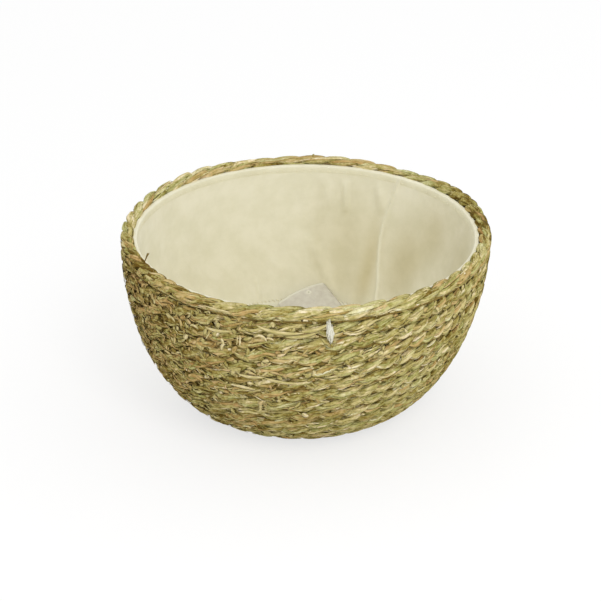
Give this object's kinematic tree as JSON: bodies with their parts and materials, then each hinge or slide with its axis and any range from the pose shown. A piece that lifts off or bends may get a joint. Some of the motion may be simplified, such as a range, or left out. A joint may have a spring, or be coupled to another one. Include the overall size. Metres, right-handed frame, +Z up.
{
  "type": "round coiled rope basket",
  "caption": "Open round bowl basket of coiled water hyacinth rope, with a sewn cotton lining and a bare card tag inside.",
  "frame": {"origin": "on the ground under the middle of the rim", "axes": "+Z up through the rim's middle, +X to the right and +Y to the back as the picture shows the basket"},
  "size_m": [0.2502, 0.25, 0.1255],
  "materials": {
    "rope": "dry twisted plant fibre",
    "row_thread": "waxed twine",
    "lining_cloth": "plain woven cotton",
    "cloth_thread": "cotton sewing thread",
    "hem_cloth": "folded cotton tape",
    "card": "smooth card"
  },
  "bodies": {
    "root": {"coil_rope": "rope", "row_stitch_thread": "row_thread", "lining_base": "lining_cloth", "lining_wall": "lining_cloth", "lining_base_thread": "cloth_thread", "lining_seam_thread": "cloth_thread", "hem_tape": "hem_cloth", "hem_thread": "cloth_thread", "card_tag": "card"}
  },
  "joints": []
}
